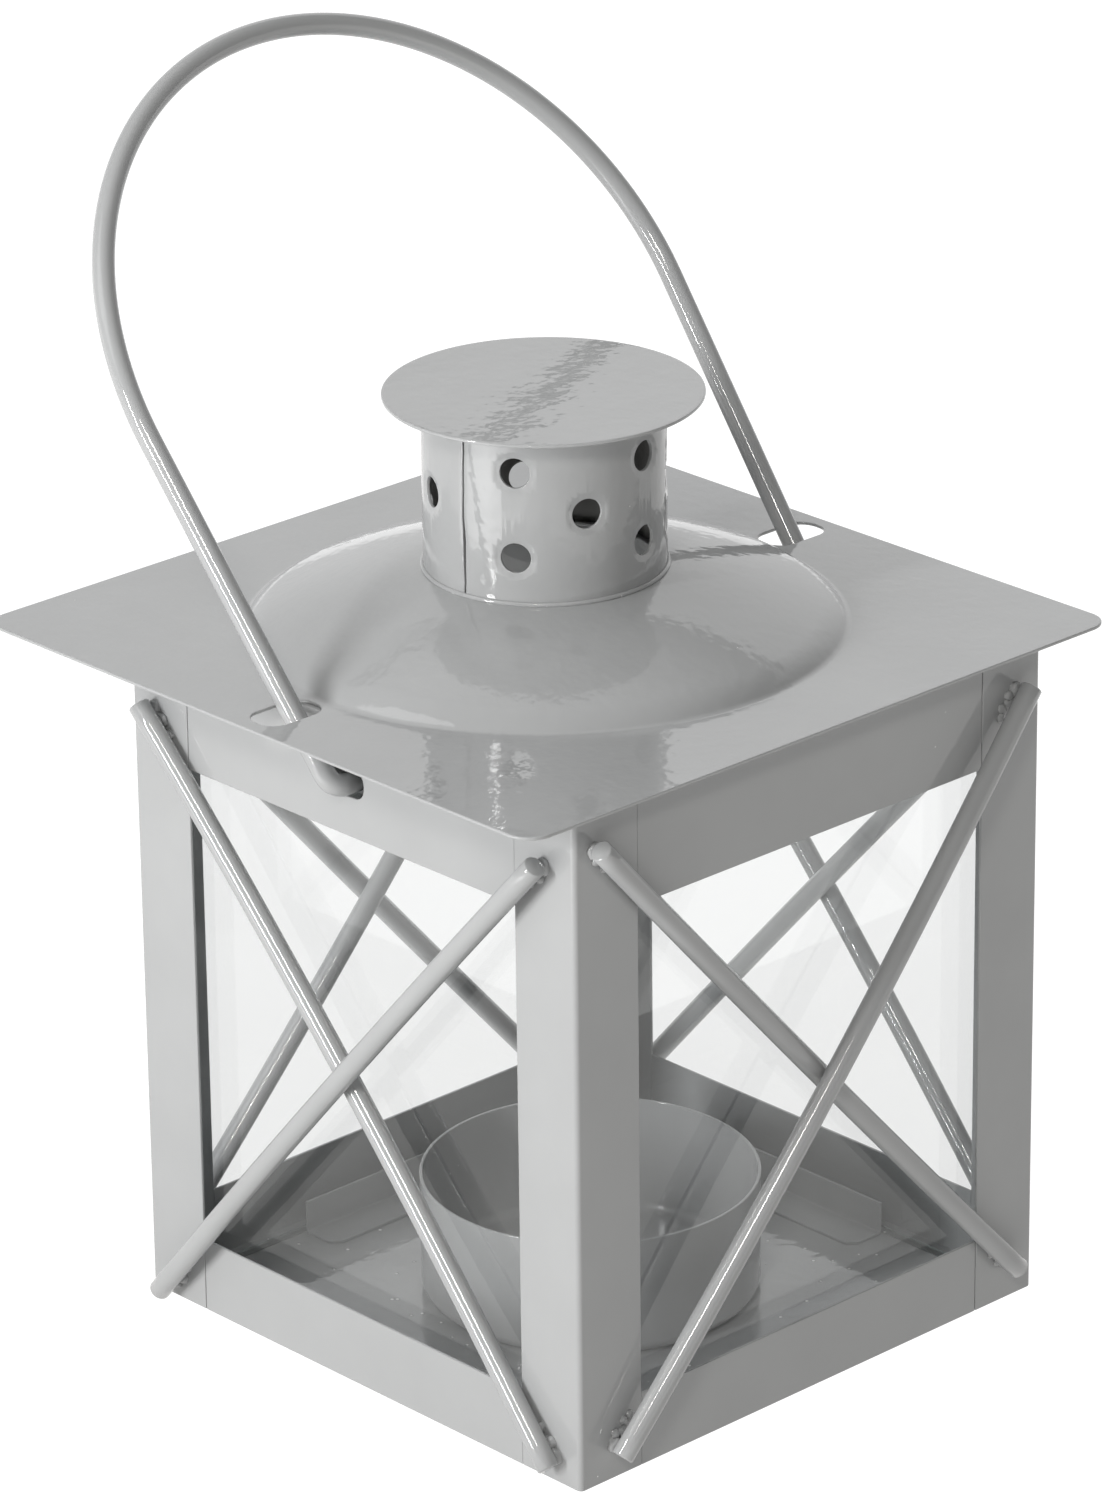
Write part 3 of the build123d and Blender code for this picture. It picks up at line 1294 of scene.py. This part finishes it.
@dataclass
class Roof:
    """The lid plate with its pressed dome and the two slots for the bail."""

    side_length: float = 118.6
    corner: float = 4.0
    dome_foot_radius: float = 45.4
    dome_height: float = 11.35
    crown_edge_rise: float = 0.84
    shoulder_radius: float = 10.0
    foot_fillet: float = 1.5
    vent_radius: float = 16.5
    slot_place: float = 51.48
    slot_length: float = 11.0
    slot_width: float = 6.6
    slot_corner: float = 2.9
    slot_rim: float = 0.2
    border: float = 0.5
    edge_rounding: float = 0.15
    slices: int = 144

    def build(self, finishes: Finishes) -> list[bpy.types.Object]:
        """Presses and punches the lid plate.

        Args:
            finishes: The lantern's materials.

        Returns:
            The piece.
        """
        work = Workpiece()
        foot = self._dome(work)
        plate = Matrix.Translation((0.0, 0.0, SHEET))
        outer = work.outline(self.side_length, self.side_length, self.corner, 8, plate)
        inner_side = self.side_length - 2 * self.border
        inner = work.outline(inner_side, inner_side, self.corner - self.border, 8, plate)
        work.bridge(outer, inner)
        edges = foot + inner
        rim = self.slot_rim
        for place in (-self.slot_place, self.slot_place):
            spot = plate @ Matrix.Translation((place, 0.0, 0.0))
            slot = work.outline(self.slot_length, self.slot_width, self.slot_corner, 8, spot)
            around = work.outline(
                self.slot_length + 2 * rim, self.slot_width + 2 * rim, self.slot_corner + rim, 8, spot
            )
            work.bridge(slot, around)
            edges += around
        work.fill(edges, UP)
        work.face_towards(UP)
        work.turned(Matrix.Translation((0.0, LID_SHIFT, BODY_HEIGHT)))
        return [
            work.finished(
                "roof",
                finishes.lid,
                Body.LID,
                ("roof_plate",),
                SHEET,
                self.edge_rounding,
                3,
            )
        ]

    def _dome(self, work: Workpiece) -> list[BMEdge]:
        """Presses the dome: crown, shoulder and foot are three arcs that run into each other.

        Args:
            work: The piece on the bench.

        Returns:
            The edges of the dome's foot.
        """
        fall = self.dome_height - SHEET - self.crown_edge_rise
        crown_radius = (self.dome_foot_radius**2 + fall**2) / (2 * fall)
        crown_centre = self.dome_height - crown_radius
        fillet = Vector((self.dome_foot_radius, 0.0, SHEET + self.foot_fillet))
        rise = fillet.z - crown_centre
        span = hypot(fillet.x, rise)
        near = crown_radius - self.shoulder_radius
        far = self.shoulder_radius + self.foot_fillet
        reach = (near**2 - far**2 + span**2) / (2 * span)
        aside = sqrt(near**2 - reach**2)
        shoulder = Vector(
            (
                (reach * fillet.x - aside * rise) / span,
                0.0,
                crown_centre + (reach * rise + aside * fillet.x) / span,
            )
        )
        vent_slope = asin(self.vent_radius / crown_radius)
        shoulder_slope = atan2(shoulder.x, shoulder.z - crown_centre)
        foot_slope = atan2(fillet.x - shoulder.x, fillet.z - shoulder.z)
        start = Vector((self.vent_radius, 0.0, crown_centre + crown_radius * cos(vent_slope)))
        heading = Vector((cos(vent_slope), 0.0, -sin(vent_slope)))
        bender = Bender(work, [work.corner(start)], start, heading, FRONT)
        bender.bend(crown_radius, -degrees(shoulder_slope - vent_slope), 10)
        bender.bend(self.shoulder_radius, -degrees(foot_slope - shoulder_slope), 14)
        bender.bend(self.foot_fillet, degrees(foot_slope), 6)
        work.lathe(self.slices)
        outside = self.dome_foot_radius - 0.05
        return [
            edge
            for edge in work.bm.edges
            if edge.is_boundary and all(hypot(vert.co.x, vert.co.y) > outside for vert in edge.verts)
        ]


@dataclass
class Chimney:
    """The punched collar, rolled to an open butt seam, and the flat cap on it."""

    seam_angle: float = -173.8
    seam_gap: float = 0.4
    hole_radius: float = 2.3
    hole_columns: int = 10
    column_margin: float = 26.7
    foot_margin: float = 7.1
    top_margin: float = 6.1
    rim_width: float = 0.45
    dimple_width: float = 0.95
    dimple_depth: float = 0.2
    edge_rounding: float = 0.08
    foot_fillet: float = 0.36
    roll_slices: int = 144
    seam_steps: int = 12
    cap_radius: float = 23.8
    cap_border: float = 0.6
    cap_rounding: float = 0.16
    beads: tuple[tuple[float, float], ...] = (
        (4.0, 0.42), (-6.5, 0.5), (13.0, 0.36), (29.0, 0.3), (151.0, 0.4)
    )
    bead_flatness: float = 0.6

    def build(self, finishes: Finishes) -> list[bpy.types.Object]:
        """Makes the collar, the cap and the welds at the collar's foot.

        Args:
            finishes: The lantern's materials.

        Returns:
            The pieces.
        """
        return [self._collar(finishes), self._cap(finishes), self._welds(finishes)]

    def _hole_places(self) -> list[tuple[float, float]]:
        """Spreads the holes over the collar, in columns of two and one by turns.

        Returns:
            The middle of each hole: its angle from the seam in degrees and its height above the foot.
        """
        pitch = (360.0 - 2 * self.column_margin) / (self.hole_columns - 1)
        high = COLLAR_HEIGHT - self.top_margin
        low = self.foot_margin
        places = []
        for column in range(self.hole_columns):
            rows = (low, high) if column % 2 == 0 else ((low + high) / 2,)
            places += [(self.column_margin + column * pitch, row) for row in rows]
        return places

    def _collar(self, finishes: Finishes) -> bpy.types.Object:
        """Punches the flat blank, then rolls it.

        Args:
            finishes: The lantern's materials.

        Returns:
            The piece.
        """
        work = Workpiece()
        around = 2 * pi * COLLAR_RADIUS
        blank = work.rounded(
            around, COLLAR_HEIGHT, 0.0, 1, Matrix.Translation((around / 2, COLLAR_HEIGHT / 2, 0.0))
        )
        ends = [e for e in blank.edges if abs(e.verts[0].co.x - e.verts[1].co.x) < 0.001]
        bmesh.ops.subdivide_edges(work.bm, edges=ends, cuts=self.seam_steps)
        border = [e for e in work.bm.edges if e.is_boundary]
        bmesh.ops.delete(work.bm, geom=work.bm.faces[:], context="FACES_ONLY")
        edges = border
        for angle, height in self._hole_places():
            spot = Matrix.Translation((radians(angle) * COLLAR_RADIUS, height, 0.0))
            hole = work.circle(self.hole_radius, 32, spot)
            rim = work.circle(self.hole_radius + self.rim_width, 32, spot)
            dimple = work.circle(self.hole_radius + self.dimple_width, 32, spot)
            for edge in hole + rim:
                for vert in edge.verts:
                    vert.co.z = -self.dimple_depth
            work.bridge(hole, rim)
            work.bridge(rim, dimple)
            edges = edges + dimple
        work.fill(edges, UP)
        work.face_towards(UP)
        work.extrude_flat(Vector((0.0, 0.0, -SHEET)))
        work.soften(self.edge_rounding, 2)
        for cut in range(1, self.roll_slices):
            spot = Vector((around * cut / self.roll_slices, 0.0, 0.0))
            geometry = [*work.bm.verts, *work.bm.edges, *work.bm.faces]
            bmesh.ops.bisect_plane(work.bm, geom=geometry, plane_co=spot, plane_no=X_AXIS)
        work.move_each(self._rolled)
        bmesh.ops.recalc_face_normals(work.bm, faces=work.bm.faces)
        # Inner faces take the second material, the near-black painted shade of the collar's inside.
        axis = Vector((0.0, LID_SHIFT, 0.0))
        for face in work.bm.faces:
            outward = face.calc_center_median() - axis
            outward.z = 0.0
            face.material_index = 1 if face.normal.dot(outward.normalized()) < -0.5 else 0
        collar = work.finished("collar", finishes.lid, Body.LID, ("chimney_collar",))
        collar.data.materials.append(finishes.collar_inside)
        return collar

    def _rolled(self, flat: Vector) -> Vector:
        """Where a point of the flat blank goes when it is rolled.

        Args:
            flat: The way along, the height and the depth below the outer face.

        Returns:
            The point on the lantern.
        """
        around = 2 * pi * COLLAR_RADIUS
        share = flat.y / COLLAR_HEIGHT
        bulge = max(0.0, 1.0 - abs(share - 0.28) / 0.22)
        half_gap = self.seam_gap / 2 * (0.75 + 0.55 * bulge)
        wander = 0.10 * sin(share * 9.0) + 0.05 * sin(share * 23.0)
        near_start = max(0.0, 1.0 - flat.x / 3.0)
        near_end = max(0.0, 1.0 - (around - flat.x) / 3.0)
        along = flat.x + near_start * (half_gap + wander) - near_end * (half_gap - wander)
        angle = radians(self.seam_angle) + along / COLLAR_RADIUS
        radius = COLLAR_RADIUS + flat.z
        return Vector((radius * cos(angle), LID_SHIFT + radius * sin(angle), COLLAR_FOOT + flat.y))

    def _cap(self, finishes: Finishes) -> bpy.types.Object:
        """Cuts the cap disc.

        Args:
            finishes: The lantern's materials.

        Returns:
            The piece.
        """
        work = Workpiece()
        top = Matrix.Translation((0.0, LID_SHIFT, COLLAR_FOOT + COLLAR_HEIGHT + SHEET))
        rim = work.circle(self.cap_radius, 160, top)
        inner = work.circle(self.cap_radius - self.cap_border, 160, top)
        work.bridge(rim, inner)
        bmesh.ops.edgeloop_fill(work.bm, edges=inner)
        work.face_towards(UP)
        work.extrude_flat(Vector((0.0, 0.0, -SHEET)))
        work.soften(self.cap_rounding, 3)
        return work.finished("cap", finishes.cap, Body.LID, ("chimney_cap",))

    def _welds(self, finishes: Finishes) -> bpy.types.Object:
        """Lays the small welds that hold the collar's foot to the dome, and the paint that gathers there.

        Args:
            finishes: The lantern's materials.

        Returns:
            The piece.
        """
        work = Workpiece()
        foot = Vector((COLLAR_RADIUS + 0.1, LID_SHIFT, COLLAR_FOOT + 0.1))
        work.circle(self.foot_fillet, 12, Matrix.Translation(foot) @ Matrix.Rotation(pi / 2, 4, "X"))
        work.lathe(self.roll_slices, (0.0, LID_SHIFT, 0.0))
        bmesh.ops.recalc_face_normals(work.bm, faces=work.bm.faces)
        for number, (angle, size) in enumerate(self.beads):
            turn = radians(self.seam_angle + angle)
            outward = Vector((cos(turn), sin(turn), 0.0))
            place = outward * (COLLAR_RADIUS + 0.05) + Vector((0.0, LID_SHIFT, COLLAR_FOOT + 0.05))
            add_bead(work, place, (outward + UP).normalized(), size, self.bead_flatness, 40 + number)
        return work.finished("collar_welds", finishes.lid, Body.LID)


@dataclass
class Bail:
    """The wire handle."""

    lean: float = 38.3
    hinge_half: float = 50.2
    spread: float = 2.35
    arch_rise: float = 59.1
    bend_radius: float = 2.4
    pin_end: float = 44.0
    wire: Wire = field(default_factory=lambda: Wire(BAIL_DIAMETER, 28, 0.3))

    def build(self, finishes: Finishes) -> list[bpy.types.Object]:
        """Bends the bail upright, then leans it.

        Args:
            finishes: The lantern's materials.

        Returns:
            The piece.
        """
        arch_radius = self.hinge_half + self.spread
        to_arch = hypot(self.hinge_half, self.arch_rise)
        leg_angle = asin(arch_radius / to_arch) - asin(self.hinge_half / to_arch)
        leg_length = sqrt(to_arch**2 - arch_radius**2)
        turn = pi / 2 - leg_angle
        setback = self.bend_radius * tan(turn / 2)
        work = Workpiece()
        pin = self.hinge_half - self.pin_end - setback - self.wire.end_rounding
        leg = leg_length - setback
        bender = self.wire.start(work, (-self.pin_end, 0.0, 0.0), -X_AXIS, -FRONT)
        bender.run(pin).bend(self.bend_radius, degrees(turn), 10).run(leg, 8)
        bender.bend(arch_radius, 180.0 + 2 * degrees(leg_angle), 120)
        bender.run(leg, 8).bend(self.bend_radius, degrees(turn), 10).run(pin)
        self.wire.stop(bender)
        lean = Matrix.Rotation(-radians(self.lean), 4, "X")
        work.turned(Matrix.Translation((0.0, 0.0, HINGE_HEIGHT)) @ lean)
        return [work.finished("bail_wire", finishes.wire, Body.BAIL, ("wire_bail",))]


@dataclass
class Tray:
    """The floor plate, which keeps its CAD shape."""

    node: str = "floor_plate"

    def build(self, nodes: dict[str, bpy.types.Object], finishes: Finishes) -> list[bpy.types.Object]:
        """Paints the floor plate.

        Args:
            nodes: The frame's CAD nodes.
            finishes: The lantern's materials.

        Returns:
            The piece.
        """
        plate = nodes[self.node]
        plate.data.materials.clear()
        plate.data.materials.append(finishes.floor)
        return [plate]


def direction(azimuth: float, elevation: float) -> Vector:
    """The way to something that stands round the lantern.

    Args:
        azimuth: Degrees from the front, to the right where positive.
        elevation: Degrees above level.

    Returns:
        The unit vector that points there.
    """
    a, e = radians(azimuth), radians(elevation)
    return Vector((sin(a) * cos(e), -cos(a) * cos(e), sin(e)))


@dataclass
class PhotoCamera:
    """The camera, where the photograph was taken from."""

    azimuth: float = -43.184
    elevation: float = 22.385
    roll: float = -0.684
    distance: float = 1079.1
    focal_pixels: float = 7196.9
    image_height: float = 1500.0
    sensor: float = 36.0
    target_height: float = 60.0
    aim_right: float = 4.907
    aim_up: float = -26.289

    def build(self) -> bpy.types.Object:
        """Sets up the camera and makes it the scene's own.

        Returns:
            The camera.
        """
        roll = radians(self.roll)
        back = direction(self.azimuth, self.elevation)
        level = direction(self.azimuth + 90.0, 0.0)
        upright = back.cross(level)
        right = level * cos(roll) + upright * sin(roll)
        up = upright * cos(roll) - level * sin(roll)
        place = Vector((0.0, 0.0, self.target_height)) + back * self.distance
        place -= right * self.aim_right + up * self.aim_up
        data = bpy.data.cameras.new("photo_camera")
        data.sensor_width = self.sensor
        data.sensor_fit = "AUTO"
        data.lens = self.focal_pixels * self.sensor / self.image_height
        data.clip_start, data.clip_end = 0.05, 50.0
        data.dof.use_dof = False
        camera = bpy.data.objects.new("photo_camera", data)
        camera.matrix_world = Matrix.Translation(place * MM) @ Matrix((right, up, back)).transposed().to_4x4()
        bpy.context.scene.collection.objects.link(camera)
        bpy.context.scene.camera = camera
        return camera


@dataclass
class Softbox:
    """One soft studio light that looks at the lantern."""

    name: str
    azimuth: float
    elevation: float
    distance: float
    width: float
    height: float
    watts: float
    colour: tuple[float, float, float] = (1.0, 1.0, 1.0)

    def build(self) -> None:
        """Hangs the light."""
        out = direction(self.azimuth, self.elevation)
        data = bpy.data.lights.new(self.name, "AREA")
        data.shape = "RECTANGLE"
        data.size, data.size_y = self.width, self.height
        data.energy = self.watts
        data.color = self.colour
        light = bpy.data.objects.new(self.name, data)
        light.visible_camera = False
        target = Vector((0.0, 0.0, 0.1))
        place = target + out * self.distance
        turn = out.to_track_quat("Z", "Y").to_matrix().to_4x4()
        light.matrix_world = Matrix.Translation(place) @ turn
        bpy.context.scene.collection.objects.link(light)


@dataclass
class Studio:
    """The pale floor, the lights and the surroundings that the paint mirrors."""

    floor_size: float = 12.0
    floor_white: float = 0.04
    floor_colour: tuple[float, float, float, float] = (0.81, 0.80, 0.785, 1.0)
    backdrop_colour: tuple[float, float, float, float] = (1.1, 1.1, 1.1, 1.0)
    dimmer_behind_glass: float = 0.48
    # Painted pool of light: a round patch of floor at the left glows much brighter, in place of the key
    # light's pool there.
    light_pool_glow: tuple[float, float, float, float] = (4.8, 4.8, 4.8, 1.0)
    pool_place: tuple[float, float, float] = (-0.42, 0.06, 0.0)
    pool_radius: float = 0.21
    pool_softness: float = 0.7
    # Painted light: behind the lantern the floor glows brighter, rising from far_start, so it lights the
    # lantern's back and shows in its paint.
    far_colour: tuple[float, float, float, float] = (1.25, 1.25, 1.25, 1.0)
    far_azimuth: float = 130.0
    far_start: float = 0.05
    far_rise: float = 1.6
    glows: tuple[tuple[float, float, float, float], ...] = (
        (165.0, 0.0, 6.0, 0.72),
        (0.0, 90.0, 4.0, 0.50),
        (150.0, 60.0, 10.0, 0.85),
        (-62.0, 45.0, 3.0, 0.20),
    )
    window: tuple[float, float, float, float] = (114.0, 22.0, 5.0, 1.25)
    window_top: float = 41.0
    window_sharpness: float = 60.0
    softboxes: tuple[Softbox, ...] = (
        Softbox("key_softbox", -94.5, 12.0, 1.2, 0.10, 0.56, 9.7),
        Softbox("high_key_softbox", -112.0, 46.0, 1.2, 0.7, 0.7, 2.8),
        Softbox("camera_softbox", -54.0, 36.0, 1.2, 0.17, 0.17, 3.2, (1.0, 0.975, 0.93)),
    )

    def build(self) -> None:
        """Sets up the studio."""
        bpy.context.scene.view_settings.view_transform = "Standard"
        self._floor()
        self._surroundings()
        for softbox in self.softboxes:
            softbox.build()

    def _floor(self) -> None:
        """Lays the pale floor, which is not part of the lantern.

        The photograph was whitened round the lantern and a little less behind its glass, so the floor is
        whiter where the camera sees it.
        """
        bm = bmesh.new()
        bmesh.ops.create_grid(bm, x_segments=8, y_segments=8, size=self.floor_size / 2)
        mesh = bpy.data.meshes.new("studio_floor")
        bm.to_mesh(mesh)
        bm.free()
        floor = bpy.data.objects.new("studio_floor", mesh)
        material = bpy.data.materials.new("pale_floor")
        material.use_nodes = True
        bench = NodeBench(material.node_tree)
        coords = bench.node("ShaderNodeTexCoord").outputs["Object"]
        # Painted pool of light: the floor's glow rises steeply inside a round patch at the left.
        away = bench.node("ShaderNodeVectorMath", {"operation": "DISTANCE"}, {0: coords, 1: self.pool_place})
        near = (1.0 - Signal(bench, away.outputs["Value"]) * (1.0 / self.pool_radius)).clipped()
        share = near**self.pool_softness
        # Painted light: the floor's glow grows towards far_azimuth, behind the lantern.
        ways = {0: coords, 1: direction(self.far_azimuth, 0.0)}
        behind = bench.node("ShaderNodeVectorMath", {"operation": "DOT_PRODUCT"}, ways)
        far = ((Signal(bench, behind.outputs["Value"]) - self.far_start) * self.far_rise).clipped()
        colours = {0: far, 6: self.floor_colour, 7: self.far_colour}
        ground = bench.node("ShaderNodeMix", {"data_type": "RGBA"}, colours)
        colours = {0: share, 6: ground.outputs[2], 7: self.light_pool_glow}
        glow = bench.node("ShaderNodeMix", {"data_type": "RGBA"}, colours)
        ray = bench.node("ShaderNodeLightPath").outputs
        behind_glass = Signal(bench, ray["Transparent Depth"]).clipped()
        whitened = Signal(bench, ray["Is Camera Ray"]) * (1.0 - behind_glass * self.dimmer_behind_glass)
        colours = {0: whitened, 6: glow.outputs[2], 7: self.backdrop_colour}
        seen = bench.node("ShaderNodeMix", {"data_type": "RGBA"}, colours)
        surface = bench.node(
            "ShaderNodeBsdfPrincipled",
            {},
            {
                "Base Color": (self.floor_white,) * 3 + (1.0,),
                "Roughness": 0.9,
                "Emission Color": seen.outputs[2],
                "Emission Strength": 1.0,
            },
        )
        bench.node("ShaderNodeOutputMaterial", {}, {"Surface": surface.outputs[0]})
        mesh.materials.append(material)
        bpy.context.scene.collection.objects.link(floor)

    def _surroundings(self) -> None:
        """Makes the room: it glows behind the lantern and overhead, and is dark where the camera stands."""
        world = bpy.data.worlds.new("studio")
        world.use_nodes = True
        bpy.context.scene.world = world
        bench = NodeBench(world.node_tree)
        way = bench.node("ShaderNodeTexCoord").outputs["Generated"]
        height = Signal(bench, bench.node("ShaderNodeSeparateXYZ", {}, {0: way}).outputs["Z"])
        below = ((sin(radians(self.window_top)) - height) * self.window_sharpness).clipped()
        light = self._glow(bench, way, self.window) * below
        for glow in self.glows:
            light = light + self._glow(bench, way, glow)
        sky = bench.node("ShaderNodeBackground", {}, {"Color": (1.0, 1.0, 1.0, 1.0), "Strength": light})
        bench.node("ShaderNodeOutputWorld", {}, {"Surface": sky.outputs[0]})

    @staticmethod
    def _glow(bench: NodeBench, way: bpy.types.NodeSocket, glow: tuple[float, float, float, float]) -> Signal:
        """One soft patch of light in the surroundings.

        Args:
            bench: The world's bench.
            way: The direction that is looked in.
            glow: The azimuth and elevation of its middle, how narrow it is, and its strength.

        Returns:
            Its light in that direction.
        """
        azimuth, elevation, narrowness, strength = glow
        middle = direction(azimuth, elevation)
        facing = bench.node("ShaderNodeVectorMath", {"operation": "DOT_PRODUCT"}, {0: way, 1: middle})
        return Signal(bench, facing.outputs["Value"]).clipped() ** narrowness * strength


def main() -> None:
    """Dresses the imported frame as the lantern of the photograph."""
    logging.basicConfig(level=logging.INFO, format="%(name)s: %(message)s")
    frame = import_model()
    PhotoCamera().build()
    Studio().build()
    finishes = Finishes.mixed()
    pieces = Tray().build(frame["nodes"], finishes)
    for part in (Housing(), Glazing(), TealightCup(), Braces(), Roof(), Chimney(), Bail()):
        pieces += part.build(finishes)
    for piece in pieces:
        LOG.info("%s, %d faces before its modifiers", piece.name, len(piece.data.polygons))


if __name__ == "__main__":
    main()
